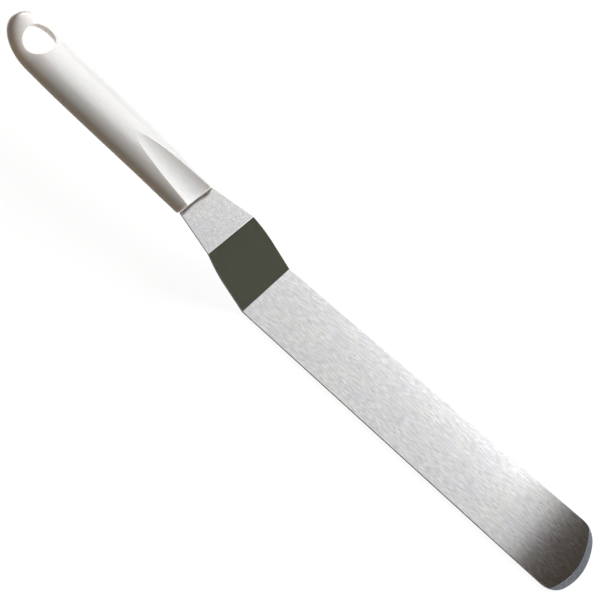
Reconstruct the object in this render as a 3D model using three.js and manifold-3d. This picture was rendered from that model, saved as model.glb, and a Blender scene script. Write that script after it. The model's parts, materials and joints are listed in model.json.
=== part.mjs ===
// Offset spatula: a bent stainless blade whose tang is held by a moulded carrier inside a hollow handle.
// Millimetres, +Z up, +X from the handle to the tip. The flat blade rests on Z = 0.
import * as THREE from "three";
import { mergeVertices, toCreasedNormals } from "three/addons/utils/BufferGeometryUtils.js";
import Module from "manifold-3d";

const wasm = await Module();
wasm.setup();

// Steel sheet
const SHEET = 1.2;
const BEND_RADIUS = 2; // to the middle of the sheet
const BLADE_LENGTH = 200; // flat blade, from the lower bend to the tip
const OFFSET_RUN = 28; // level distance between the two bends
const OFFSET_RISE = 19; // height between the two bends
const SHANK_LENGTH = 24.5; // bare steel between the handle and the upper bend
const HANDLE_PITCH = 7.6; // degrees that the shank and the tang rise towards the butt
const TIP_WIDTH = 39.4;
const HEEL_WIDTH = 35.6; // flat blade at the lower bend
const FLARE_END = 19.5; // the flare reaches the heel's width this far behind the lower bend
const FLARE_ROUND = 6; // length over which the flare turns into the straight edge
const TIP_CROWN = 31.5; // radius of the end of the tip
const TIP_CORNER = 10.8; // radius of its corners
const BEVEL_WIDTH = 3.3; // ground bevel at the middle of the tip
const BEVEL_RADIUS = 36; // of the bevel's inner line
const BEVEL_EDGE = 0.45; // steel left under the bevelled edge

// Tang
const TANG_LENGTH = 60;
const TANG_WIDTH = 13;
const TANG_END_ROUND = 3;
const TANG_HOLE = 5;
const TANG_HOLE_PLACES = [15, 48]; // from the handle's mouth
const BARB_DEPTH = 1;
const BARB_LENGTH = 5;
const BARB_COUNT = 3;
const BARB_START = 22; // from the mouth

// Handle
const HANDLE_LENGTH = 128.6;
const HANDLE_WIDTH = 27.5;
const MOUTH_WIDTH = 25.5;
const TAPER_LENGTH = 60; // over which the handle narrows to its mouth
const HANDLE_THICKNESS = 11.8;
const BUTT_THICKNESS = 11.4; // at the hang hole
const SWELL_END = 72; // from the butt to where the full thickness is reached
const BUTT_ROUND = 21.8; // length of the rounded butt
const BUTT_FULLNESS = 2.4; // exponent of the butt's outline, 2 is an ellipse
const BUTT_BLUNTNESS = 0.5; // exponent that keeps the butt thicker than its outline is wide
const SHOULDER_INSET = 1.55; // how far the blade's shoulders stop inside the mouth's outline
const LIP_RADIUS = 1.2;
const WALL = 1.9;
const HANG_HOLE = 15.8; // across, before its flare and its draft
const HANG_HOLE_PLACE = 15.5; // from the butt to the middle of the hole
const HANG_HOLE_FLARE = 1; // how much its radius grows towards each face
const HANG_HOLE_DRAFT = 2.8; // how much wider its radius is at the bottom than at the top
const SOLID_BEHIND_HOLE = 11; // plastic between the hang hole and the hollow
const SCOOP_LENGTH = 43; // thumb scoop, from the mouth back
const SCOOP_DEPTH = 2.7; // below the crown, at the mouth
const SCOOP_RADIUS = 25;

// The handle's middle line, whose heights are above the tang's plane
const MOUTH_LIFT = 1.3; // height at the mouth
const SAG = 2.4; // depth of its lowest stretch
const SAG_START = 20; // from the mouth to where it starts to fall
const SAG_END = 100; // and to where it would be lowest
const UPTURN_HEIGHT = 8.7; // how far the butt turns up again
const UPTURN_LENGTH = 23.4;
const MOUTH_SLANT = 17.5; // degrees that the mouth leans out over the blade
const SLANT_LENGTH = 26; // over which the slant grows

// Carrier
const FIT = 0.3; // gap between pieces that touch
const CARRIER_LENGTH = 64;
const CARRIER_INSET = 0.6; // how far its face lies inside the mouth
const POCKET_FLOOR = 1; // plastic between the tang and a pocket
const POCKET_WIDTH = 15;
const POCKET_START = 21; // from the mouth
const POCKET_COUNT = 4;
const RIB = 2; // between two pockets, and behind the last

// Facets
const AROUND_HANDLE = 60;
const AROUND_SCOOP = 160;
const AROUND_BEVEL = 180;
const CURVE_STEPS = 12; // on each curve of a drawn outline
const BUTT_STEPS = 14;
const SKIN_STEPS = 24; // between the butt's rounding and the lip
const SCOOP_STEPS = 8;
const LIP_STEPS = 6;
const HOLE_STEPS = 12; // through the hang hole
const HOLLOW_STEPS = 16;
const CREASE = THREE.MathUtils.degToRad(30); // sharper edges are shaded as edges
const MERGE = 1e-4; // vertices nearer than this are one
const SLOPE_STEP = 0.05; // between two points that give the middle line's slope

const PITCH = THREE.MathUtils.degToRad(HANDLE_PITCH);
const SLANT = Math.tan(THREE.MathUtils.degToRad(MOUTH_SLANT));

const steel = new THREE.MeshStandardMaterial({ color: 0xcfcecb, roughness: 0.32, metalness: 1 });
const glossWhite = new THREE.MeshStandardMaterial({ color: 0xf1f0ed, roughness: 0.25, metalness: 0 });
const plainWhite = new THREE.MeshStandardMaterial({ color: 0xdedcd6, roughness: 0.6, metalness: 0 });

// A closed three.js geometry as a solid.
function solid(geometry) {
  geometry.deleteAttribute("normal");
  geometry.deleteAttribute("uv");
  const merged = mergeVertices(geometry, MERGE);
  const vertProperties = new Float32Array(merged.attributes.position.array);
  const triVerts = new Uint32Array(merged.index.array);
  return new wasm.Manifold(new wasm.Mesh({ numProp: 3, vertProperties, triVerts }));
}

// A solid as a named mesh.
function piece(name, body, material) {
  const mesh = body.getMesh();
  const geometry = new THREE.BufferGeometry();
  geometry.setAttribute("position", new THREE.BufferAttribute(mesh.vertProperties, 3));
  geometry.setIndex(new THREE.BufferAttribute(mesh.triVerts, 1));
  const made = new THREE.Mesh(toCreasedNormals(geometry, CREASE), material);
  made.name = name;
  return made;
}

function block(xMin, xMax, yMin, yMax, zMin, zMax) {
  const geometry = new THREE.BoxGeometry(xMax - xMin, yMax - yMin, zMax - zMin);
  geometry.translate((xMin + xMax) / 2, (yMin + yMax) / 2, (zMin + zMax) / 2);
  return solid(geometry);
}

// An outline in X and Y, drawn out from zMin to zMax.
function extruded(shape, zMin, zMax, curveSegments = CURVE_STEPS) {
  const options = { depth: zMax - zMin, bevelEnabled: false, curveSegments };
  const geometry = new THREE.ExtrudeGeometry(shape, options);
  geometry.translate(0, 0, zMin);
  return geometry;
}

// A profile of [radius, distance along X] points, turned about X.
function turned(profile, facets) {
  const points = profile.map(([radius, x]) => new THREE.Vector2(radius, x));
  const geometry = new THREE.LatheGeometry(points, facets);
  geometry.rotateZ(-Math.PI / 2);
  return geometry;
}

// Values from one to another, with ease to set them closer together where a form turns fast.
function spread(from, to, count, ease = (t) => t) {
  return Array.from({ length: count + 1 }, (_, i) => from + (to - from) * ease(i / count));
}

const slowestStart = (t) => (1 - Math.cos((t * Math.PI) / 2)) ** 2;
const slowEnd = (t) => Math.sin((t * Math.PI) / 2);

// ---- Blade ----
// The middle line of the sheet, seen from the side with the lower bend at X = 0.

const bladeEnd = new THREE.Vector2(BLADE_LENGTH, SHEET / 2);
const lowerBend = new THREE.Vector2(0, SHEET / 2);
const upperBend = new THREE.Vector2(-OFFSET_RUN, OFFSET_RISE + SHEET / 2);
const backwards = new THREE.Vector2(-Math.cos(PITCH), Math.sin(PITCH));
const mouth = upperBend.clone().addScaledVector(backwards, SHANK_LENGTH);
const tangEnd = mouth.clone().addScaledVector(backwards, TANG_LENGTH);

// The way square to a run of the sheet, to the left of its direction.
function leftOf(from, to) {
  const run = to.clone().sub(from).normalize();
  return new THREE.Vector2(-run.y, run.x);
}

// Adds the side of the sheet that lies to the right of the corners, with its bends as arcs.
function addSheetSide(shape, corners) {
  const last = corners.length - 1;
  const start = corners[0].clone().addScaledVector(leftOf(corners[0], corners[1]), -SHEET / 2);
  shape.lineTo(start.x, start.y);
  for (let i = 1; i < last; i++) {
    const before = leftOf(corners[i - 1], corners[i]);
    const after = leftOf(corners[i], corners[i + 1]);
    const turn = Math.sign(before.cross(after)); // 1 where the sheet bends to the left
    const half = Math.acos(before.dot(after)) / 2;
    const inward = before.clone().add(after).normalize().multiplyScalar(turn);
    const centre = corners[i].clone().addScaledVector(inward, BEND_RADIUS / Math.cos(half));
    const from = before.multiplyScalar(-turn).angle();
    const to = after.multiplyScalar(-turn).angle();
    shape.absarc(centre.x, centre.y, BEND_RADIUS + (turn * SHEET) / 2, from, to, turn < 0);
  }
  const end = corners[last].clone().addScaledVector(leftOf(corners[last - 1], corners[last]), -SHEET / 2);
  shape.lineTo(end.x, end.y);
}

// The bent sheet, wider than the spatula.
function bentStrip() {
  const corners = [tangEnd, upperBend, lowerBend, bladeEnd];
  const start = tangEnd.clone().addScaledVector(leftOf(tangEnd, upperBend), SHEET / 2);
  const shape = new THREE.Shape();
  shape.moveTo(start.x, start.y);
  addSheetSide(shape, corners);
  addSheetSide(shape, [...corners].reverse());
  const geometry = extruded(shape, -TIP_WIDTH, TIP_WIDTH);
  geometry.rotateX(Math.PI / 2);
  return solid(geometry);
}

// One edge of the bare steel seen from above, as points from the shoulder to the middle of the tip.
function edgePoints(side) {
  const front = mouth.x + FIT - (MOUTH_LIFT - SHEET / 2) * SLANT;
  const shoulder = new THREE.Vector2(front, MOUTH_WIDTH / 2 - SHOULDER_INSET);
  const knee = new THREE.Vector2(-FLARE_END, HEEL_WIDTH / 2);
  const flare = knee.clone().sub(shoulder).setLength(FLARE_ROUND);
  const cornerY = TIP_WIDTH / 2 - TIP_CORNER;
  const crownX = BLADE_LENGTH - TIP_CROWN;
  const cornerX = crownX + Math.sqrt((TIP_CROWN - TIP_CORNER) ** 2 - cornerY ** 2);
  const meet = Math.atan2(cornerY, cornerX - crownX);
  const edge = new THREE.Path();
  edge.moveTo(shoulder.x, side * shoulder.y);
  edge.lineTo(knee.x - flare.x, side * (knee.y - flare.y));
  edge.quadraticCurveTo(knee.x, side * knee.y, knee.x + FLARE_ROUND, side * knee.y);
  edge.lineTo(0, side * knee.y);
  edge.absarc(cornerX, side * cornerY, TIP_CORNER, (side * Math.PI) / 2, side * meet, side > 0);
  edge.absarc(crownX, 0, TIP_CROWN, side * meet, 0, side > 0);
  return edge.getPoints(CURVE_STEPS);
}

// The bare steel seen from above.
function bareSteel(zMin, zMax) {
  const around = [...edgePoints(-1), ...edgePoints(1).reverse().slice(1)];
  return solid(extruded(new THREE.Shape(around), zMin, zMax));
}

// The tang seen square to its face, with its mouth end at X = front, barbs in both edges and two
// holes. grow widens it all round, into the slot that the carrier has round it.
function tangShape(front, grow) {
  const half = TANG_WIDTH / 2 + grow;
  const end = -TANG_LENGTH - grow;
  const round = end + TANG_END_ROUND;
  const barbs = [];
  for (let i = 0; i < BARB_COUNT; i++) {
    const wall = -BARB_START - i * BARB_LENGTH - grow;
    barbs.push([wall, half], [wall, half - BARB_DEPTH]);
  }
  barbs.push([-BARB_START - BARB_COUNT * BARB_LENGTH - grow, half]);
  const shape = new THREE.Shape();
  shape.moveTo(front, -half);
  shape.lineTo(front, half);
  barbs.forEach(([x, y]) => shape.lineTo(x, y));
  shape.absarc(round, half - TANG_END_ROUND, TANG_END_ROUND, Math.PI / 2, Math.PI, false);
  shape.absarc(round, TANG_END_ROUND - half, TANG_END_ROUND, Math.PI, 1.5 * Math.PI, false);
  barbs.reverse().forEach(([x, y]) => shape.lineTo(x, -y));
  for (const place of TANG_HOLE_PLACES) {
    const hole = new THREE.Path();
    hole.absarc(-place, 0, TANG_HOLE / 2 - grow, 0, 2 * Math.PI, true);
    shape.holes.push(hole);
  }
  return shape;
}

// What grinding takes off the top of the tip: all that lies above a cone round the blade's middle.
function bevelCut() {
  const slope = (SHEET - BEVEL_EDGE) / BEVEL_WIDTH;
  const reach = 3 * BEVEL_WIDTH;
  const top = 2 * SHEET;
  const profile = [
    [BEVEL_RADIUS, SHEET],
    [BEVEL_RADIUS + reach, SHEET - slope * reach],
    [BEVEL_RADIUS + reach, top],
    [BEVEL_RADIUS, top],
    [BEVEL_RADIUS, SHEET],
  ];
  const geometry = turned(profile, AROUND_BEVEL);
  geometry.rotateY(-Math.PI / 2);
  const centre = BLADE_LENGTH - BEVEL_WIDTH - BEVEL_RADIUS;
  geometry.translate(centre, 0, 0);
  const front = block(centre, 2 * BLADE_LENGTH, -TIP_WIDTH, TIP_WIDTH, -top, 2 * top);
  return solid(geometry).intersect(front);
}

function bladeSolid() {
  const height = OFFSET_RISE + HANDLE_LENGTH;
  const tang = extruded(tangShape(SHANK_LENGTH / 4, 0), -height, height);
  tang.rotateY(PITCH);
  tang.translate(mouth.x, 0, mouth.y);
  const outline = bareSteel(-SHEET, height).add(solid(tang));
  return bentStrip().intersect(outline).subtract(bevelCut());
}

// ---- Handle ----
// Drawn in its own frame, with X along it, the mouth at 0 and the butt at -HANDLE_LENGTH. Every body
// is drawn straight and then bent along the middle line.

// The height of the middle line.
function middle(x) {
  const fall = THREE.MathUtils.smoothstep(-x, SAG_START, SAG_END);
  const upturn = Math.max(0, 1 - (x + HANDLE_LENGTH) / UPTURN_LENGTH);
  return THREE.MathUtils.lerp(MOUTH_LIFT, -SAG, fall) + UPTURN_HEIGHT * upturn ** 2;
}

// A geometry bent along the middle line and slanted like the mouth, as a solid.
function bent(geometry) {
  const position = geometry.attributes.position;
  for (let i = 0; i < position.count; i++) {
    const x = position.getX(i);
    const z = position.getZ(i);
    const slope = (middle(x + SLOPE_STEP) - middle(x - SLOPE_STEP)) / (2 * SLOPE_STEP);
    const slant = SLANT * THREE.MathUtils.smoothstep(x, -SLANT_LENGTH, 0);
    position.setX(i, x + z * (slant - slope));
    position.setZ(i, z + middle(x));
  }
  return solid(geometry);
}

function buttRounding(x) {
  const along = Math.min(1, (x + HANDLE_LENGTH) / BUTT_ROUND);
  return (1 - (1 - along) ** BUTT_FULLNESS) ** (1 / BUTT_FULLNESS);
}

function halfWidth(x) {
  const narrowing = THREE.MathUtils.clamp(1 + x / TAPER_LENGTH, 0, 1) ** 2;
  const full = THREE.MathUtils.lerp(HANDLE_WIDTH, MOUTH_WIDTH, narrowing) / 2;
  return full * buttRounding(x);
}

function halfThickness(x) {
  const swell = THREE.MathUtils.smoothstep(x + HANDLE_LENGTH, HANG_HOLE_PLACE, SWELL_END);
  const full = THREE.MathUtils.lerp(BUTT_THICKNESS, HANDLE_THICKNESS, swell) / 2;
  return full * buttRounding(x) ** BUTT_BLUNTNESS;
}

// How far the skin draws in round the mouth.
function lip(x) {
  const past = THREE.MathUtils.clamp(x + LIP_RADIUS, 0, LIP_RADIUS);
  return LIP_RADIUS - Math.sqrt(LIP_RADIUS ** 2 - past ** 2);
}

// A closed body with oval sections at the stations, drawn in by inset.
function oval(stations, inset) {
  const wide = stations.map((x) => [Math.max(0, halfWidth(x) - inset(x)), x]);
  if (wide[0][0] > 0) wide.unshift([0, stations[0]]);
  wide.push([0, stations[stations.length - 1]]);
  const geometry = turned(wide, AROUND_HANDLE);
  const position = geometry.attributes.position;
  for (let i = 0; i < position.count; i++) {
    const x = position.getX(i);
    const width = halfWidth(x) - inset(x);
    if (width > 0) position.setZ(i, (position.getZ(i) * (halfThickness(x) - inset(x))) / width);
  }
  return bent(geometry);
}

// The trough of the thumb scoop, which runs down towards the mouth.
function scoop(inset) {
  const lipStations = spread(-LIP_RADIUS, 0, LIP_STEPS, slowEnd);
  const floor = spread(-1.5 * SCOOP_LENGTH, -LIP_RADIUS, SCOOP_STEPS).slice(0, -1);
  const stations = [...floor, ...lipStations, SCOOP_LENGTH];
  const wide = stations.map((x) => [SCOOP_RADIUS + inset(x), x]);
  const profile = [[0, stations[0]], ...wide, [0, SCOOP_LENGTH]];
  const geometry = turned(profile, AROUND_SCOOP);
  geometry.translate(0, 0, SCOOP_RADIUS);
  geometry.rotateY(Math.atan(SCOOP_DEPTH / SCOOP_LENGTH));
  geometry.translate(0, 0, HANDLE_THICKNESS / 2 - SCOOP_DEPTH);
  return bent(geometry);
}

// The handle's form with its scoop, drawn in by inset: its skin, its hollow or what fills that.
function form(stations, inset) {
  return oval(stations, inset).subtract(scoop(inset));
}

// The hang hole, rounded out towards both faces and wider below than above.
function hangHole() {
  const wall = spread(-Math.PI / 2, Math.PI / 2, HOLE_STEPS).map((turn) => {
    const flare = HANG_HOLE_FLARE * (1 - Math.cos(turn));
    const draft = (HANG_HOLE_DRAFT * (1 - Math.sin(turn))) / 2;
    return [HANG_HOLE / 2 + flare + draft, (BUTT_THICKNESS / 2) * Math.sin(turn)];
  });
  const [bottom] = wall[0];
  const [top] = wall[HOLE_STEPS];
  const below = [[0, -HANDLE_THICKNESS], [bottom, -HANDLE_THICKNESS]];
  const above = [[top, HANDLE_THICKNESS], [0, HANDLE_THICKNESS]];
  const profile = [...below, ...wall, ...above];
  const geometry = turned(profile, AROUND_HANDLE);
  geometry.rotateY(-Math.PI / 2);
  geometry.translate(HANG_HOLE_PLACE - HANDLE_LENGTH, 0, 0);
  return bent(geometry);
}

function handleSolid() {
  const butt = -HANDLE_LENGTH;
  const hollowEnd = butt + HANG_HOLE_PLACE + HANG_HOLE / 2 + SOLID_BEHIND_HOLE;
  const stations = [
    ...spread(butt, butt + BUTT_ROUND, BUTT_STEPS, slowestStart),
    ...spread(butt + BUTT_ROUND, -LIP_RADIUS, SKIN_STEPS).slice(1, -1),
    ...spread(-LIP_RADIUS, 0, LIP_STEPS, slowEnd),
  ];
  const hollow = form(spread(hollowEnd, LIP_RADIUS, HOLLOW_STEPS), () => WALL);
  return form(stations, lip).subtract(hangHole()).subtract(hollow);
}

// ---- Carrier ----
// Drawn in the handle's frame. Its form bends with the handle; its slot and pockets are straight.

function pockets() {
  const length = (CARRIER_LENGTH - POCKET_START - POCKET_COUNT * RIB) / POCKET_COUNT;
  const floor = SHEET / 2 + FIT + POCKET_FLOOR;
  const side = POCKET_WIDTH / 2;
  const all = [];
  for (let i = 0; i < POCKET_COUNT; i++) {
    const front = -POCKET_START - i * (length + RIB);
    all.push(block(front - length, front, -side, side, floor, HANDLE_THICKNESS));
    all.push(block(front - length, front, -side, side, -HANDLE_THICKNESS, -floor));
  }
  return all.reduce((joined, one) => joined.add(one));
}

function carrierSolid() {
  const slotHalf = SHEET / 2 + FIT;
  const slot = solid(extruded(tangShape(FIT, FIT), -slotHalf, slotHalf));
  const plug = form(spread(-CARRIER_LENGTH, -CARRIER_INSET, HOLLOW_STEPS), () => WALL + FIT);
  return plug.subtract(slot).subtract(pockets());
}

// ---- The part ----

const grip = new THREE.Group();
grip.position.set(mouth.x, 0, mouth.y);
grip.rotation.y = PITCH;
grip.add(piece("handle", handleSolid(), glossWhite));
grip.add(piece("tang_carrier", carrierSolid(), plainWhite));

const spatula = new THREE.Group();
spatula.add(piece("blade", bladeSolid(), steel));
spatula.add(grip);

// The origin lies under the middle of the whole length, on the surface that the blade rests on.
spatula.updateMatrixWorld(true);
const whole = new THREE.Box3().setFromObject(spatula, true);
spatula.position.x = -(whole.min.x + whole.max.x) / 2;

export default spatula;
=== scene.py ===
"""Offset spatula: its brushed blade and its glossy white handle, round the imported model.

All sizes are in metres, in the model's own frame: +X along the blade to its tip, +Y across, +Z up.
"""

import json
import math

import bpy
from mathutils import Matrix, Vector

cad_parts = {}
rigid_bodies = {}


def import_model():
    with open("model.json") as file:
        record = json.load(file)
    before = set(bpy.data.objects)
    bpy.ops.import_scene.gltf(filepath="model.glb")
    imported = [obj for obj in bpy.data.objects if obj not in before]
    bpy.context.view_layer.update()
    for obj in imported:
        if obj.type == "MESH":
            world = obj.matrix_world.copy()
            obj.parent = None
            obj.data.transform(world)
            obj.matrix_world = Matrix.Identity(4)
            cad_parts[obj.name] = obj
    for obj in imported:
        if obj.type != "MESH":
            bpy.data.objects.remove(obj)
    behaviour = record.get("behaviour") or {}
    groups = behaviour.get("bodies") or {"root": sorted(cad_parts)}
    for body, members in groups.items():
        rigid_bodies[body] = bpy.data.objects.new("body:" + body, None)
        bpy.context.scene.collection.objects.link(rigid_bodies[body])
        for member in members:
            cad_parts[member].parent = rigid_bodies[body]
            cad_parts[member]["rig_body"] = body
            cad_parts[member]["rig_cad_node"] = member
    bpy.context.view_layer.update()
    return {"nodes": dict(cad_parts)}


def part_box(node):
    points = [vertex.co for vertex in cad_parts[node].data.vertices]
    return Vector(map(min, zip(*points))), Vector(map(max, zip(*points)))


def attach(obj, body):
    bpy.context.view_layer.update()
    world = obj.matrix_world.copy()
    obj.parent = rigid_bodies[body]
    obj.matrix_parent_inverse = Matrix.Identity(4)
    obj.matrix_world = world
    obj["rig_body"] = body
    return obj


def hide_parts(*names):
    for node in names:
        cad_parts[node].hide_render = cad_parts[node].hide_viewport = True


bl_info = {
    "name": "Offset spatula",
    "version": (1, 0, 0),
    "blender": (4, 5, 0),
    "location": "View3D > Sidebar > Spatula",
    "description": "Makes an offset spatula with a brushed steel blade and a glossy handle",
    "category": "Add Mesh",
}

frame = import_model()
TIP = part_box("blade")[1].x  # where the blade ends
MM = 0.001


# ---- Sizes and colours ----


class HandleSizes(bpy.types.PropertyGroup):
    """Sizes of the handle, drawn straight along its own axis from the butt to the mouth"""

    length: bpy.props.FloatProperty(
        name="Length", description="From the butt to the mouth, before the bend",
        default=128.6 * MM, unit="LENGTH", precision=4)
    width: bpy.props.FloatProperty(
        name="Width", description="Across the handle at its widest",
        default=27.5 * MM, unit="LENGTH", precision=4)
    mouth_width: bpy.props.FloatProperty(
        name="Mouth width", description="Across the handle at its mouth",
        default=25.5 * MM, unit="LENGTH", precision=4)
    taper: bpy.props.FloatProperty(
        name="Taper", description="Length over which the handle narrows to its mouth",
        default=60 * MM, unit="LENGTH", precision=4)
    thickness: bpy.props.FloatProperty(
        name="Thickness", description="Through the front of the handle",
        default=11.8 * MM, unit="LENGTH", precision=4)
    butt_thickness: bpy.props.FloatProperty(
        name="Butt thickness", description="Through the handle at the hang hole",
        default=11.4 * MM, unit="LENGTH", precision=4)
    swell_end: bpy.props.FloatProperty(
        name="Swell end", description="From the butt to where the full thickness is reached",
        default=72 * MM, unit="LENGTH", precision=4)
    butt_round: bpy.props.FloatProperty(
        name="Butt round", description="Length of the rounded butt",
        default=21.8 * MM, unit="LENGTH", precision=4)
    lip: bpy.props.FloatProperty(
        name="Lip", description="Radius of the edge round the mouth",
        default=1.2 * MM, unit="LENGTH", precision=4)
    wall: bpy.props.FloatProperty(
        name="Wall", description="Thickness of the plastic round the hollow",
        default=1.9 * MM, unit="LENGTH", precision=4)
    hole: bpy.props.FloatProperty(
        name="Hang hole", description="Diameter of the hole, before its flare and its draft",
        default=15.8 * MM, unit="LENGTH", precision=4)
    hole_place: bpy.props.FloatProperty(
        name="Hang hole place", description="From the butt to the middle of the hole",
        default=15.5 * MM, unit="LENGTH", precision=4)
    hole_flare: bpy.props.FloatProperty(
        name="Hang hole flare", description="How much the hole's radius grows towards a face",
        default=1 * MM, unit="LENGTH", precision=4)
    hole_draft: bpy.props.FloatProperty(
        name="Hang hole draft", description="How much wider the hole's radius is below than above",
        default=2.8 * MM, unit="LENGTH", precision=4)
    solid_behind_hole: bpy.props.FloatProperty(
        name="Solid behind hole", description="Plastic between the hang hole and the hollow",
        default=11 * MM, unit="LENGTH", precision=4)
    scoop_length: bpy.props.FloatProperty(
        name="Scoop length", description="Length of the thumb scoop, from the mouth back",
        default=43 * MM, unit="LENGTH", precision=4)
    scoop_depth: bpy.props.FloatProperty(
        name="Scoop depth", description="Depth of the thumb scoop at the mouth",
        default=2.7 * MM, unit="LENGTH", precision=4)
    scoop_radius: bpy.props.FloatProperty(
        name="Scoop radius", description="Radius of the trough across the handle",
        default=25 * MM, unit="LENGTH", precision=4)


class HandleBend(bpy.types.PropertyGroup):
    """The line that the handle is bent along, and the slant of its mouth"""

    mouth_lift: bpy.props.FloatProperty(
        name="Mouth lift",
        description="Height of the middle line at the mouth, above the tang's plane",
        default=1.3 * MM, unit="LENGTH", precision=4)
    sag: bpy.props.FloatProperty(
        name="Sag", description="Depth of the lowest stretch of the middle line",
        default=2.4 * MM, unit="LENGTH", precision=4)
    sag_start: bpy.props.FloatProperty(
        name="Sag start", description="From the mouth to where the middle line starts to fall",
        default=20 * MM, unit="LENGTH", precision=4)
    sag_end: bpy.props.FloatProperty(
        name="Sag end", description="From the mouth to where the middle line would be lowest",
        default=100 * MM, unit="LENGTH", precision=4)
    upturn_height: bpy.props.FloatProperty(
        name="Upturn height", description="How far the butt turns up again",
        default=8.7 * MM, unit="LENGTH", precision=4)
    upturn_length: bpy.props.FloatProperty(
        name="Upturn length", description="Length of the stretch that turns up",
        default=23.4 * MM, unit="LENGTH", precision=4)
    mouth_slant: bpy.props.FloatProperty(
        name="Mouth slant", description="How far the mouth leans out over the blade",
        default=math.radians(17.5), subtype="ANGLE")
    slant_length: bpy.props.FloatProperty(
        name="Slant length", description="Length over which the slant grows",
        default=26 * MM, unit="LENGTH", precision=4)


class BladeSizes(bpy.types.PropertyGroup):
    """Sizes of the bent steel that place the handle, and of its worked edges"""

    flat_length: bpy.props.FloatProperty(
        name="Flat length", description="From the lower bend to the tip",
        default=200 * MM, unit="LENGTH", precision=4)
    offset_run: bpy.props.FloatProperty(
        name="Offset run", description="Level distance between the two bends",
        default=28 * MM, unit="LENGTH", precision=4)
    offset_rise: bpy.props.FloatProperty(
        name="Offset rise", description="Height between the two bends",
        default=19 * MM, unit="LENGTH", precision=4)
    shank_length: bpy.props.FloatProperty(
        name="Shank length", description="Bare steel between the handle and the upper bend",
        default=24.5 * MM, unit="LENGTH", precision=4)
    pitch: bpy.props.FloatProperty(
        name="Handle pitch", description="How steeply the handle rises to its butt",
        default=math.radians(7.6), subtype="ANGLE")
    sheet: bpy.props.FloatProperty(
        name="Sheet", description="Thickness of the steel",
        default=1.2 * MM, unit="LENGTH", precision=4)
    edge: bpy.props.FloatProperty(
        name="Edge", description="Rounding that tumbling leaves on the cut edges",
        default=0.16 * MM, unit="LENGTH", precision=5)


class Finish(bpy.types.PropertyGroup):
    """Colours and roughness of the pieces"""

    steel: bpy.props.FloatVectorProperty(
        name="Steel", description="Colour of the brushed steel",
        default=(0.575, 0.572, 0.573), size=3, min=0, max=1, subtype="COLOR")
    steel_roughness: bpy.props.FloatProperty(
        name="Steel roughness", description="Roughness of the brushed faces",
        default=0.165, min=0, max=1, subtype="FACTOR")
    ground_steel: bpy.props.FloatVectorProperty(
        name="Ground steel", description="Colour of the bevel that is ground on the tip",
        default=(0.37, 0.40, 0.46), size=3, min=0, max=1, subtype="COLOR")
    # Partly the duller cut face, partly painted shade: a dark colour standing in for the dark
    # reflection along the blade's edges
    cut_steel_and_shade: bpy.props.FloatVectorProperty(
        name="Cut steel", description="Colour of the stamped side faces",
        default=(0.13, 0.125, 0.12), size=3, min=0, max=1, subtype="COLOR")
    plastic: bpy.props.FloatVectorProperty(
        name="Plastic", description="Colour of the handle",
        default=(0.80, 0.80, 0.795), size=3, min=0, max=1, subtype="COLOR")
    plastic_roughness: bpy.props.FloatProperty(
        name="Plastic roughness", description="Roughness of the handle's skin",
        default=0.28, min=0, max=1, subtype="FACTOR")
    carrier: bpy.props.FloatVectorProperty(
        name="Carrier", description="Colour of the plug in the handle's mouth",
        default=(0.72, 0.71, 0.69), size=3, min=0, max=1, subtype="COLOR")


class StageSettings(bpy.types.PropertyGroup):
    """The camera, the floor, the lamp and the cards that the gloss and the steel reflect"""

    eye: bpy.props.FloatVectorProperty(
        name="Eye", description="Where the camera stands",
        default=(0.07892, -0.18646, 0.3564), size=3, subtype="TRANSLATION")
    aim: bpy.props.FloatVectorProperty(
        name="Aim", description="The point that the camera looks at",
        default=(0.00804, 0.00346, 0.01), size=3, subtype="TRANSLATION")
    roll: bpy.props.FloatProperty(
        name="Roll", description="How far the camera leans to its left",
        default=math.radians(23.348), subtype="ANGLE")
    lens: bpy.props.FloatProperty(
        name="Lens", description="Focal length on a 36 mm sensor, in millimetres", default=48.835)
    ambient: bpy.props.FloatProperty(
        name="Ambient", description="Light from all round on dull surfaces", default=0.11, min=0)
    key_power: bpy.props.FloatProperty(
        name="Key power", description="Power of the lamp that lights the object's far side",
        default=26.5, min=0, subtype="POWER")
    handle_card: bpy.props.FloatProperty(
        name="Handle card", description="Brightness of the card that the handle's crown reflects",
        default=6, min=0)
    blade_card: bpy.props.FloatProperty(
        name="Blade card", description="Brightness of the card that the blade's far side reflects",
        default=2.8, min=0)
    dark_card: bpy.props.FloatVectorProperty(
        name="Dark card", description="Colour of the card that the offset section reflects",
        default=(0.112, 0.117, 0.082), size=3, min=0, max=1, subtype="COLOR")
    tip_card: bpy.props.FloatVectorProperty(
        name="Tip card", description="Colour of the card that the tip reflects",
        default=(0.066, 0.051, 0.037), size=3, min=0, max=1, subtype="COLOR")
    floor: bpy.props.FloatVectorProperty(
        name="Floor", description="Colour that the floor throws back at the object",
        default=(0.62, 0.50, 0.38), size=3, min=0, max=1, subtype="COLOR")
    shadow: bpy.props.FloatProperty(
        name="Shadow", description="How strongly the white floor shows the object's shadow",
        default=0.12, min=0, max=1, subtype="FACTOR")


# ---- Nodes ----


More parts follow.
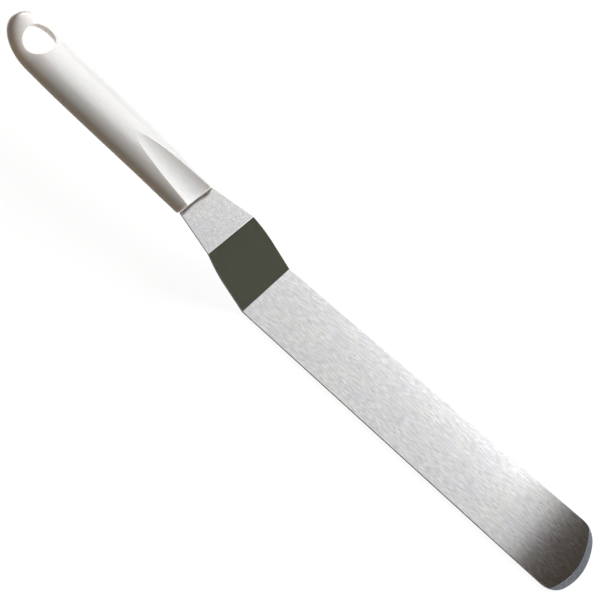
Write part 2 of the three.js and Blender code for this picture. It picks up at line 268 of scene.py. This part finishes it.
class Nodes:
    """A material's node tree, emptied, with short ways to add and join nodes"""

    def __init__(self, name):
        self.material = bpy.data.materials.new(name)
        self.material.use_nodes = True
        self.tree = self.material.node_tree
        self.tree.nodes.clear()
        self.surface = self.add("ShaderNodeOutputMaterial").inputs["Surface"]

    def add(self, kind, **values):
        node = self.tree.nodes.new(kind)
        for key, value in values.items():
            setattr(node, key, value)
        return node

    def join(self, output, socket):
        self.tree.links.new(output, socket)

    def place(self, scale):
        """Object coordinates, scaled to a pattern's own size"""
        mapping = self.add("ShaderNodeMapping")
        mapping.inputs["Scale"].default_value = scale
        self.join(self.add("ShaderNodeTexCoord").outputs["Object"], mapping.inputs["Vector"])
        return mapping.outputs["Vector"]

    def noise(self, scale, detail=3.0, rough=0.5):
        """Noise with this many features a metre along each axis, from 0 to 1"""
        noise = self.add("ShaderNodeTexNoise")
        noise.inputs["Scale"].default_value = 1.0
        noise.inputs["Detail"].default_value = detail
        noise.inputs["Roughness"].default_value = rough
        self.join(self.place(scale), noise.inputs["Vector"])
        return noise.outputs["Fac"]

    def ranged(self, value, low, high, start=0.0, end=1.0):
        """value, moved from start..end to low..high"""
        ranged = self.add("ShaderNodeMapRange")
        ends = {"From Min": start, "From Max": end, "To Min": low, "To Max": high}
        for key, number in ends.items():
            ranged.inputs[key].default_value = number
        self.join(value, ranged.inputs["Value"])
        return ranged.outputs["Result"]

    def mixed(self, first, second, share):
        """share of the first value, and the rest of the second"""
        parts = []
        for value, part in ((first, share), (second, 1 - share)):
            node = self.add("ShaderNodeMath", operation="MULTIPLY")
            self.join(value, node.inputs[0])
            node.inputs[1].default_value = part
            parts.append(node.outputs["Value"])
        total = self.add("ShaderNodeMath", operation="ADD")
        self.join(parts[0], total.inputs[0])
        self.join(parts[1], total.inputs[1])
        return total.outputs["Value"]

    def blend(self, factor, first, second):
        """A colour between two, by a factor from 0 to 1"""
        mix = self.add("ShaderNodeMix", data_type="RGBA")
        mix.inputs["A"].default_value = (*first, 1)
        mix.inputs["B"].default_value = (*second, 1)
        self.join(factor, mix.inputs[0])
        return mix.outputs["Result"]

    def shaded(self, factor, colour, dark, light):
        """A colour, from its dark share to its light one, by a factor from 0 to 1"""
        ends = [[min(1, channel * share) for channel in colour] for share in (dark, light)]
        return self.blend(factor, *ends)

    def multiply(self, first, second):
        """One colour times another"""
        mix = self.add("ShaderNodeMix", data_type="RGBA", blend_type="MULTIPLY")
        mix.inputs[0].default_value = 1
        self.join(first, mix.inputs["A"])
        self.join(second, mix.inputs["B"])
        return mix.outputs["Result"]

    def bump(self, height, distance, normal=None):
        """The normal over a relief that is distance metres deep, on top of another relief's"""
        bump = self.add("ShaderNodeBump")
        bump.inputs["Distance"].default_value = distance
        self.join(height, bump.inputs["Height"])
        if normal:
            self.join(normal, bump.inputs["Normal"])
        return bump.outputs["Normal"]

    def glow(self, colour, strength):
        """Light of its own"""
        emission = self.add("ShaderNodeEmission")
        emission.inputs["Color"].default_value = (*colour, 1)
        emission.inputs["Strength"].default_value = strength
        return emission.outputs["Emission"]

    def principled(self, **values):
        """The surface, with a value or a pattern for each socket that is named"""
        shader = self.add("ShaderNodeBsdfPrincipled")
        for key, value in values.items():
            socket = shader.inputs[key.replace("_", " ")]
            if isinstance(value, bpy.types.NodeSocket):
                self.join(value, socket)
            elif socket.type == "RGBA":
                socket.default_value = (*value, 1)
            else:
                socket.default_value = value
        self.join(shader.outputs["BSDF"], self.surface)


# ---- Finishes ----

# A pattern's scale is in features a metre along X, Y and Z. Its relief is its depth.
MOST_OF_NOISE = (0.3, 0.7)  # where nearly all of a noise's values lie
CORE_OF_NOISE = (0.35, 0.65)
WORN_NOISE = (0.35, 0.7)
FINE_STREAKS = (320, 4800, 4800)
BROAD_STREAKS = (150, 1900, 1900)
STREAKS_FINE_SHARE = 0.85
STREAKS_RELIEF = 0.0025 * MM
STEEL_PATCHES = (60, 110, 110)
STEEL_LILAC = (0.985, 0.975, 1.0)
STEEL_WARM = (1.0, 1.0, 0.985)
STEEL_WEAR = 0.02  # how far the roughness strays
BRUSHING = (1, 0, 0)  # along the blade
GROUND_SCRATCHES = (1900, 600, 600)
GROUND_ROUGHNESS = (0.42, 0.58)
CUT_TEARS = (2200, 2200, 200)
CUT_ROUGHNESS = (0.4, 0.6)
STEEL_RELIEF = 0.03 * MM  # of the ground and the cut faces
MOULD_WAVES = (70, 70, 70)
MOULD_WAVES_RELIEF = 0.02 * MM
PORES = (900, 900, 900)
PORES_RELIEF = 0.0008 * MM
HANDLING_WEAR = (60, 900, 900)
HANDLING_POLISH, HANDLING_SCUFF = 0.03, 0.04  # how far it takes the roughness down and up
PLASTIC_PATCHES = (25, 25, 25)
PLASTIC_GLOW = (4 * MM, 3 * MM, 2.2 * MM)  # how deep red, green and blue light go
CARRIER_GRAIN = (3000, 3000, 3000)
CARRIER_GRAIN_RELIEF = 0.01 * MM
CARRIER_PATCHES = (80, 80, 80)
CARRIER_ROUGHNESS = (0.5, 0.65)


def brushed_steel(finish):
    """Sheet steel with a fine brushed grain along the blade, in faintly lilac and warm patches"""
    n = Nodes("brushed_steel")
    fine = n.noise(FINE_STREAKS, detail=1, rough=0.6)
    patches = n.noise(STEEL_PATCHES, detail=1)
    streaks = n.mixed(fine, n.noise(BROAD_STREAKS, detail=1), STREAKS_FINE_SHARE)
    contrast = n.ranged(streaks, 0, 1, *MOST_OF_NOISE)
    brushed = n.shaded(contrast, finish.steel, dark=0.72, light=1.27)
    tint = n.blend(n.ranged(patches, 0, 1, *CORE_OF_NOISE), STEEL_LILAC, STEEL_WARM)
    smoothest = finish.steel_roughness - STEEL_WEAR
    roughest = finish.steel_roughness + STEEL_WEAR
    across = n.add("ShaderNodeVectorMath", operation="CROSS_PRODUCT")
    n.join(n.add("ShaderNodeNewGeometry").outputs["Normal"], across.inputs[0])
    across.inputs[1].default_value = BRUSHING
    n.principled(
        Base_Color=n.multiply(brushed, tint), Metallic=1.0, Anisotropic=0.7,
        Roughness=n.ranged(n.mixed(fine, patches, 0.7), smoothest, roughest),
        Tangent=across.outputs["Vector"], Normal=n.bump(streaks, STREAKS_RELIEF))
    return n.material


def ground_steel(finish):
    """The bevel at the tip, ground across the edge on a coarse wheel"""
    n = Nodes("ground_steel")
    scratches = n.noise(GROUND_SCRATCHES, detail=4, rough=0.7)
    contrast = n.ranged(scratches, 0, 1, *MOST_OF_NOISE)
    n.principled(
        Base_Color=n.shaded(contrast, finish.ground_steel, dark=0.72, light=1.28),
        Metallic=1.0, Roughness=n.ranged(scratches, *GROUND_ROUGHNESS),
        Normal=n.bump(scratches, STEEL_RELIEF))
    return n.material


def cut_steel_and_shade(finish):
    """The stamped side faces: duller, with fine tear marks square to the sheet, and darker partly as
    painted shade that stands in for the dark reflection along the blade's edges
    """
    n = Nodes("cut_steel_and_shade")
    tears = n.noise(CUT_TEARS, detail=3, rough=0.6)
    # The dark base colour is partly painted shade, for the dark reflection along the blade's edges
    n.principled(
        Base_Color=n.shaded(tears, finish.cut_steel_and_shade, dark=0.8, light=1.2), Metallic=1.0,
        Roughness=n.ranged(tears, *CUT_ROUGHNESS), Normal=n.bump(tears, STEEL_RELIEF))
    return n.material


def gloss_plastic(finish):
    """Glossy moulded plastic with the faint waviness of its mould and fine wear"""
    n = Nodes("gloss_plastic")
    patches = n.noise(PLASTIC_PATCHES, detail=2)
    wear = n.noise(HANDLING_WEAR, detail=4, rough=0.7)
    smoothest = finish.plastic_roughness - HANDLING_POLISH
    roughest = finish.plastic_roughness + HANDLING_SCUFF
    waves = n.bump(n.noise(MOULD_WAVES, detail=1), MOULD_WAVES_RELIEF)
    n.principled(
        Base_Color=n.shaded(patches, finish.plastic, dark=0.985, light=1.01), IOR=1.49,
        Roughness=n.ranged(wear, smoothest, roughest, *WORN_NOISE),
        Subsurface_Weight=0.35, Subsurface_Radius=PLASTIC_GLOW, Subsurface_Scale=1.0,
        Normal=n.bump(n.noise(PORES, detail=2), PORES_RELIEF, waves))
    return n.material


def matte_plastic(finish):
    """The carrier's plain moulded plastic, with a fine spark-eroded grain"""
    n = Nodes("matte_plastic")
    grain = n.noise(CARRIER_GRAIN)
    n.principled(
        Base_Color=n.shaded(n.noise(CARRIER_PATCHES), finish.carrier, dark=0.96, light=1.03),
        Roughness=n.ranged(grain, *CARRIER_ROUGHNESS), IOR=1.5,
        Normal=n.bump(grain, CARRIER_GRAIN_RELIEF))
    return n.material


# ---- Modelling ----


def deselect():
    """Leaves edit mode with nothing selected"""
    if bpy.context.object and bpy.context.object.mode != "OBJECT":
        bpy.ops.object.mode_set(mode="OBJECT")
    bpy.ops.object.select_all(action="DESELECT")


def activate(piece):
    """Makes a piece the only one that operators act on"""
    deselect()
    piece.select_set(True)
    bpy.context.view_layer.objects.active = piece


def loft(name, rings, around):
    """A closed body, extruded ring by ring along X. A ring is (x, half width, half height)."""
    deselect()
    x, wide, high = rings[0]
    bpy.ops.mesh.primitive_circle_add(
        vertices=around, radius=1, fill_type="NGON", location=(x, 0, 0),
        rotation=(0, math.pi / 2, 0))
    piece = bpy.context.object
    piece.name = name
    bpy.ops.object.transform_apply(location=True, rotation=True, scale=True)
    bpy.ops.object.mode_set(mode="EDIT")
    bpy.ops.mesh.select_all(action="SELECT")
    bpy.ops.transform.resize(value=(1, wide, high), center_override=(x, 0, 0))
    for next_x, next_wide, next_high in rings[1:]:
        bpy.ops.mesh.extrude_region_move(TRANSFORM_OT_translate={"value": (next_x - x, 0, 0)})
        bpy.ops.transform.resize(
            value=(1, next_wide / wide, next_high / high), center_override=(next_x, 0, 0))
        x, wide, high = next_x, next_wide, next_high
    bpy.ops.mesh.select_all(action="SELECT")
    bpy.ops.mesh.normals_make_consistent(inside=False)
    bpy.ops.object.mode_set(mode="OBJECT")
    return piece


def move(piece, matrix):
    """Moves a piece's mesh, and leaves its object at the origin"""
    piece.matrix_world = matrix
    activate(piece)
    bpy.ops.object.transform_apply(location=True, rotation=True, scale=True)


def cut(piece, cutter):
    """Takes one body out of another, and drops the cutter"""
    activate(piece)
    modifier = piece.modifiers.new("cut", "BOOLEAN")
    modifier.object = cutter
    modifier.operation = "DIFFERENCE"
    modifier.solver = "EXACT"
    bpy.ops.object.modifier_apply(modifier=modifier.name)
    bpy.data.objects.remove(cutter)


def spread(start, end, count, ease=lambda t: t):
    """Values from start to end, closer together where ease is flat"""
    return [start + (end - start) * ease(i / count) for i in range(count + 1)]


def slowest_start(t):
    """0 to 1, for stations that crowd at the start"""
    return (1 - math.cos(t * math.pi / 2)) ** 2


def slow_end(t):
    """0 to 1, for stations that crowd at the end"""
    return math.sin(t * math.pi / 2)


def smooth(piece, angle):
    """Shades a piece smooth, apart from edges sharper than an angle in degrees"""
    activate(piece)
    bpy.ops.object.shade_smooth_by_angle(angle=math.radians(angle))


def finished(piece, materials, body, replaced):
    """Gives a finished piece its materials and its place in the model"""
    piece.data.materials.clear()
    for material in materials:
        piece.data.materials.append(material)
    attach(piece, body)
    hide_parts(replaced)


# ---- Handle ----

BUTT_FULLNESS = 2.4  # exponent of the butt's outline, 2 is an ellipse
BUTT_BLUNTNESS = 0.5  # exponent that keeps the butt thicker than its outline is wide
NOSE = 0.15 * MM  # half width of the first ring at the butt
FACETS = 0.04 * MM  # how far the fine skin lies inside the true form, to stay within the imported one
SLOPE_STEP = 0.05 * MM  # to either side of the place where a slope is taken
SMOOTH_HANDLE = 14  # degrees
AROUND_HANDLE = 144
AROUND_SCOOP = 288
BUTT_STEPS = 36
SKIN_STEPS = 64
HOLLOW_STEPS = 32
SCOOP_STEPS = 24
HOLE_STEPS = 24
LIP_STEPS = 12
SCOOP_REACH = 1.5  # the trough's length behind the mouth, in scoop lengths


def eased(t):
    """0 to 1, with a slow start and a slow end"""
    t = min(1, max(0, t))
    return t * t * (3 - 2 * t)


def handle_place(blade):
    """The matrix that takes the handle from its own frame, with its mouth at 0, to the model's"""
    lower_bend = TIP - blade.flat_length
    x = lower_bend - blade.offset_run - blade.shank_length * math.cos(blade.pitch)
    z = blade.sheet / 2 + blade.offset_rise + blade.shank_length * math.sin(blade.pitch)
    return Matrix.Translation((x, 0, z)) @ Matrix.Rotation(blade.pitch, 4, "Y")


def middle(line, h, x):
    """The height of the handle's middle line above the tang's plane"""
    fall = eased((-x - line.sag_start) / (line.sag_end - line.sag_start))
    upturn = max(0, 1 - (x + h.length) / line.upturn_length)
    fallen = line.mouth_lift - (line.mouth_lift + line.sag) * fall
    return fallen + line.upturn_height * upturn**2


def bend(piece, line, h):
    """Bends a straight piece along the middle line, and slants its front like the mouth"""
    for vertex in piece.data.vertices:
        x, y, z = vertex.co
        rise = middle(line, h, x + SLOPE_STEP) - middle(line, h, x - SLOPE_STEP)
        slant = math.tan(line.mouth_slant) * eased(1 + x / line.slant_length)
        vertex.co = (x + z * (slant - rise / (2 * SLOPE_STEP)), y, z + middle(line, h, x))
    return piece


def butt_rounding(h, x):
    """The share of its full width that the rounded butt has reached"""
    along = min(1, max(0, (x + h.length) / h.butt_round))
    return (1 - (1 - along) ** BUTT_FULLNESS) ** (1 / BUTT_FULLNESS)


def half_width(h, x):
    """Half of the skin's width across the handle, without the lip"""
    narrowing = min(1, max(0, 1 + x / h.taper)) ** 2
    full = h.width + (h.mouth_width - h.width) * narrowing
    return max(NOSE, full / 2 * butt_rounding(h, x) - FACETS)


def half_thickness(h, x):
    """Half of the skin's height, without the lip"""
    swell = eased((x + h.length - h.hole_place) / (h.swell_end - h.hole_place))
    full = h.butt_thickness + (h.thickness - h.butt_thickness) * swell
    return max(NOSE, full / 2 * butt_rounding(h, x) ** BUTT_BLUNTNESS - FACETS)


def lip_draw_in(h, x):
    """How far the rounded lip of the mouth draws the skin in"""
    past = min(h.lip, max(0, x + h.lip))
    return h.lip - math.sqrt(max(0, h.lip**2 - past**2))


def handle_skin(h):
    """The handle's outside without its scoop"""
    stations = (
        spread(FACETS - h.length, h.butt_round - h.length, BUTT_STEPS, slowest_start)
        + spread(h.butt_round - h.length, -h.lip, SKIN_STEPS)[1:]
        + spread(-h.lip, 0, LIP_STEPS, slow_end)[1:]
    )
    rings = []
    for x in stations:
        draw_in = lip_draw_in(h, x)
        rings.append((x, half_width(h, x) - draw_in, half_thickness(h, x) - draw_in))
    return loft("handle_shell", rings, AROUND_HANDLE)


def hollow(h):
    """The hollow that opens at the mouth, before the scoop's wall"""
    start = h.hole_place + h.hole / 2 + h.solid_behind_hole - h.length
    rings = [
        (x, half_width(h, x) - h.wall, half_thickness(h, x) - h.wall)
        for x in spread(start, h.lip, HOLLOW_STEPS)
    ]
    return loft("hollow", rings, AROUND_HANDLE)


def scoop(h, wall, draw_in):
    """The trough of the thumb scoop, widened by a wall and by the lip's rounding at the mouth"""
    straight = spread(-SCOOP_REACH * h.scoop_length, -h.lip, SCOOP_STEPS)[:-1]
    stations = [*straight, *spread(-h.lip, 0, LIP_STEPS, slow_end), h.scoop_length]
    rings = [(x, *[h.scoop_radius + wall + draw_in(h, x)] * 2) for x in stations]
    trough = loft("scoop", rings, AROUND_SCOOP)
    slope = math.atan(h.scoop_depth / h.scoop_length)
    lowest = Matrix.Translation((0, 0, h.thickness / 2 - h.scoop_depth))
    above = Matrix.Translation((0, 0, h.scoop_radius))
    move(trough, lowest @ Matrix.Rotation(slope, 4, "Y") @ above)
    return trough


def hang_hole(h):
    """The hang hole, rounded out towards both faces and wider below than above"""
    rings = []
    for turn in spread(-math.pi / 2, math.pi / 2, HOLE_STEPS):
        flare = h.hole_flare * (1 - math.cos(turn))
        draft = h.hole_draft * (1 - math.sin(turn)) / 2
        rings.append((h.butt_thickness / 2 * math.sin(turn), *[h.hole / 2 + flare + draft] * 2))
    rings.insert(0, (-h.thickness, *rings[0][1:]))
    rings.append((h.thickness, *rings[-1][1:]))
    hole = loft("hang_hole", rings, AROUND_HANDLE)
    place = Matrix.Translation((h.hole_place - h.length, 0, 0))
    move(hole, place @ Matrix.Rotation(-math.pi / 2, 4, "Y"))
    return hole


class SPATULA_OT_handle(bpy.types.Operator):
    """Model the glossy hollow handle with its scoop and hang hole"""

    bl_idname = "spatula.handle"
    bl_label = "Handle"

    def execute(self, context):
        h = context.scene.spatula_handle
        line = context.scene.spatula_bend
        shell = bend(handle_skin(h), line, h)
        cut(shell, bend(scoop(h, 0, lip_draw_in), line, h))
        cut(shell, bend(hang_hole(h), line, h))
        inside = bend(hollow(h), line, h)
        cut(inside, bend(scoop(h, h.wall, lambda *_: 0), line, h))
        cut(shell, inside)
        move(shell, handle_place(context.scene.spatula_blade))
        smooth(shell, SMOOTH_HANDLE)
        look = context.scene.spatula_finish
        finished(shell, [gloss_plastic(look)], "root", "handle")
        return {"FINISHED"}


# ---- Blade ----

BRUSHED, GROUND, CUT = 0, 1, 2  # material slots
LEVEL, STEEP = 0.99, 0.5  # Z of the normals between which a face of the tip is the bevel
BEVEL_REACH = 30 * MM  # the bevel lies within this of the blade's end
TIP_REACH = 20 * MM  # and the side faces of the rounded tip within this
SIDEWAYS = 0.6  # Y of a normal past which a face is a side face
UPRIGHT = 0.3  # Z of a normal below which a face at the tip is a side face
SAME_POINT = 0.002 * MM
SAME_PLANE = math.radians(0.5)
SMOOTH_STEEL = 30  # degrees
EDGE_STEPS = 3


def tip_bevel(face):
    """True on the ground bevel, the only face on the tip's top that isn't level"""
    return face.center.x > TIP - BEVEL_REACH and STEEP < face.normal.z < LEVEL


def stamped(face):
    """True on the side faces, square to the sheet"""
    at_tip = face.center.x > TIP - TIP_REACH
    return abs(face.normal.y) > SIDEWAYS or (at_tip and abs(face.normal.z) < UPRIGHT)


def outline_bevel(steel):
    """Marks the outline of the ground bevel sharp, so that it isn't shaded into the flat"""
    bpy.ops.object.mode_set(mode="EDIT")
    bpy.ops.mesh.select_mode(type="FACE")
    bpy.ops.mesh.select_all(action="DESELECT")
    bpy.ops.object.mode_set(mode="OBJECT")
    for face in steel.data.polygons:
        face.select = face.material_index == GROUND
    bpy.ops.object.mode_set(mode="EDIT")
    bpy.ops.mesh.region_to_loop()
    bpy.ops.mesh.mark_sharp()
    bpy.ops.object.mode_set(mode="OBJECT")


def round_edges(steel, width):
    """Rounds the sharp edges a little"""
    edges = steel.modifiers.new("edges", "BEVEL")
    edges.width = width
    edges.segments = EDGE_STEPS
    edges.limit_method = "ANGLE"
    edges.angle_limit = math.radians(SMOOTH_STEEL)
    edges.harden_normals = True
    bpy.ops.object.modifier_apply(modifier=edges.name)


class SPATULA_OT_blade(bpy.types.Operator):
    """Finish the steel: rounded edges, brushed faces, a ground tip and stamped sides"""

    bl_idname = "spatula.blade"
    bl_label = "Blade"

    def execute(self, context):
        activate(frame["nodes"]["blade"])
        bpy.ops.object.duplicate()
        steel = bpy.context.object
        steel.name = "steel_blade"
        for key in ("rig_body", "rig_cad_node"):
            del steel[key]  # the copy is a piece of its own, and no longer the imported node
        bpy.ops.object.mode_set(mode="EDIT")
        bpy.ops.mesh.select_all(action="SELECT")
        bpy.ops.mesh.remove_doubles(threshold=SAME_POINT)
        bpy.ops.mesh.dissolve_limited(angle_limit=SAME_PLANE)
        bpy.ops.object.mode_set(mode="OBJECT")
        look = context.scene.spatula_finish
        finished(
            steel, [brushed_steel(look), ground_steel(look), cut_steel_and_shade(look)],
            "root", "blade")
        # The side faces take the cut steel, whose dark colour is partly painted shade
        for face in steel.data.polygons:
            kind = GROUND if tip_bevel(face) else CUT if stamped(face) else BRUSHED
            face.material_index = kind
        smooth(steel, SMOOTH_STEEL)
        outline_bevel(steel)
        round_edges(steel, context.scene.spatula_blade.edge)
        return {"FINISHED"}


class SPATULA_OT_carrier(bpy.types.Operator):
    """Give the plug in the handle's mouth its matte plastic"""

    bl_idname = "spatula.carrier"
    bl_label = "Tang carrier"

    def execute(self, context):
        carrier = frame["nodes"]["tang_carrier"]
        carrier.data.materials.clear()
        carrier.data.materials.append(matte_plastic(context.scene.spatula_finish))
        return {"FINISHED"}


# ---- Stage ----

WHITE = (1, 1, 1)
WARM_AMBIENT = (1.0, 0.74, 0.48)
FLOOR_SIZE = 6
FLOOR_DROP = 0.2 * MM  # below the blade's flat underside
KEY_PLACE = (0.46, 1.02, 0.58)
KEY_TARGET = (-0.1, 0, 0.03)
KEY_SIZE = 0.8
KEY_COLOUR = (0.97, 0.985, 1.0)
# The middle, the size and the turn of each card
DARK_CARD = ((0.9615, 0.6, 0.6), (1.083, 1.6), 0)
TIP_CARD = ((0.4315, 0.314, 0.595), (0.247, 1.2), math.radians(-9))
HANDLE_CARD = ((-0.48, 0.335, 0.5), (0.56, 0.53), 0)
BLADE_CARD = ((0.08, 0.685, 0.5), (0.44, 0.7), math.radians(-7))
SENSOR = 36  # millimetres
NEAREST, FARTHEST = 0.01, 50  # what the camera sees


def white_for_camera(tree, seen, lit, surface):
    """Joins one shader for rays from the camera, gloss and glass, and another for the rest"""
    path = tree.nodes.new("ShaderNodeLightPath")
    looking = path.outputs["Is Camera Ray"]
    for kind in ("Is Glossy Ray", "Is Transmission Ray"):
        either = tree.nodes.new("ShaderNodeMath")
        either.operation = "MAXIMUM"
        tree.links.new(looking, either.inputs[0])
        tree.links.new(path.outputs[kind], either.inputs[1])
        looking = either.outputs["Value"]
    mix = tree.nodes.new("ShaderNodeMixShader")
    for output, socket in zip((looking, lit, seen), mix.inputs):
        tree.links.new(output, socket)
    tree.links.new(mix.outputs["Shader"], surface)


def make_world(stage):
    """White to look at, and a dim warm light from all round for dull surfaces"""
    world = bpy.data.worlds.new("studio")
    world.use_nodes = True
    tree = world.node_tree
    tree.nodes.clear()
    seen = tree.nodes.new("ShaderNodeBackground")
    seen.inputs["Color"].default_value = (*WHITE, 1)
    lit = tree.nodes.new("ShaderNodeBackground")
    lit.inputs["Color"].default_value = (*WARM_AMBIENT, 1)
    lit.inputs["Strength"].default_value = stage.ambient
    out = tree.nodes.new("ShaderNodeOutputWorld")
    white_for_camera(
        tree, seen.outputs["Background"], lit.outputs["Background"], out.inputs["Surface"])
    bpy.context.scene.world = world


def make_floor(stage):
    """White to look at with a faint shadow, and a warm colour that lights the object from below"""
    deselect()
    bpy.ops.mesh.primitive_plane_add(size=FLOOR_SIZE, location=(0, 0, -FLOOR_DROP))
    floor = bpy.context.object
    floor.name = "floor"
    n = Nodes("floor")
    shadowed = n.add("ShaderNodeBsdfDiffuse")
    shadowed.inputs["Color"].default_value = (*[stage.shadow] * 3, 1)
    seen = n.add("ShaderNodeAddShader")
    n.join(n.glow(WHITE, 1 - stage.shadow / 2), seen.inputs[0])
    n.join(shadowed.outputs["BSDF"], seen.inputs[1])
    lit = n.add("ShaderNodeBsdfDiffuse")
    lit.inputs["Color"].default_value = (*stage.floor, 1)
    white_for_camera(n.tree, seen.outputs["Shader"], lit.outputs["BSDF"], n.surface)
    floor.data.materials.append(n.material)


def make_key(stage):
    """The lamp, which gloss and steel don't show: they reflect the cards instead"""
    data = bpy.data.lights.new("key", "AREA")
    data.shape = "DISK"
    data.size = KEY_SIZE
    data.energy = stage.key_power
    data.color = KEY_COLOUR
    lamp = bpy.data.objects.new("key", data)
    bpy.context.scene.collection.objects.link(lamp)
    lamp.location = KEY_PLACE
    lamp.rotation_mode = "QUATERNION"
    aim = Vector(KEY_TARGET) - Vector(KEY_PLACE)
    lamp.rotation_quaternion = aim.to_track_quat("-Z", "Y")
    lamp.visible_glossy = False


def make_card(name, layout, colour, strength=1.0):
    """A level studio card above the object, which only gloss and steel show"""
    place, size, turn = layout
    deselect()
    bpy.ops.mesh.primitive_plane_add(size=1, location=place, rotation=(0, 0, turn))
    card = bpy.context.object
    card.name = name
    card.scale = (*size, 1)
    n = Nodes(name)
    n.join(n.glow(colour, strength), n.surface)
    card.data.materials.append(n.material)
    card.visible_camera = False
    card.visible_diffuse = False
    card.visible_shadow = False


def make_camera(stage):
    data = bpy.data.cameras.new("camera")
    data.sensor_width = SENSOR
    data.lens = stage.lens
    data.clip_start = NEAREST
    data.clip_end = FARTHEST
    camera = bpy.data.objects.new("camera", data)
    bpy.context.scene.collection.objects.link(camera)
    eye, aim = Vector(stage.eye), Vector(stage.aim)
    level = (aim - eye).to_track_quat("-Z", "Y").to_matrix().to_4x4()
    camera.matrix_world = Matrix.Translation(eye) @ level @ Matrix.Rotation(stage.roll, 4, "Z")
    bpy.context.scene.camera = camera


class SPATULA_OT_stage(bpy.types.Operator):
    """Set up the white floor, the lamp, the cards and the camera"""

    bl_idname = "spatula.stage"
    bl_label = "Stage"

    def execute(self, context):
        stage = context.scene.spatula_stage
        make_world(stage)
        make_floor(stage)
        make_key(stage)
        make_card("dark_card", DARK_CARD, stage.dark_card)
        make_card("tip_card", TIP_CARD, stage.tip_card)
        make_card("handle_card", HANDLE_CARD, WHITE, stage.handle_card)
        make_card("blade_card", BLADE_CARD, WHITE, stage.blade_card)
        make_camera(stage)
        context.scene.view_settings.view_transform = "Standard"
        return {"FINISHED"}


# ---- Panel and registration ----


class SPATULA_PT_panel(bpy.types.Panel):
    """Lists the steps that make the spatula"""

    bl_label = "Offset spatula"
    bl_idname = "SPATULA_PT_panel"
    bl_space_type = "VIEW_3D"
    bl_region_type = "UI"
    bl_category = "Spatula"

    def draw(self, context):
        for operator in OPERATORS:
            self.layout.operator(operator.bl_idname)
        for group in GROUPS:
            box = self.layout.box()
            settings = getattr(context.scene, group)
            for key in GROUPS[group].__annotations__:
                box.prop(settings, key)


GROUPS = {
    "spatula_handle": HandleSizes,
    "spatula_bend": HandleBend,
    "spatula_blade": BladeSizes,
    "spatula_finish": Finish,
    "spatula_stage": StageSettings,
}
OPERATORS = (SPATULA_OT_handle, SPATULA_OT_blade, SPATULA_OT_carrier, SPATULA_OT_stage)
CLASSES = (*GROUPS.values(), *OPERATORS, SPATULA_PT_panel)


def register():
    for one in CLASSES:
        bpy.utils.register_class(one)
    for name, group in GROUPS.items():
        setattr(bpy.types.Scene, name, bpy.props.PointerProperty(type=group))


def unregister():
    for name in GROUPS:
        delattr(bpy.types.Scene, name)
    for one in reversed(CLASSES):
        bpy.utils.unregister_class(one)


def main():
    register()
    bpy.ops.spatula.handle()
    bpy.ops.spatula.blade()
    bpy.ops.spatula.carrier()
    bpy.ops.spatula.stage()


if __name__ == "__main__":
    main()
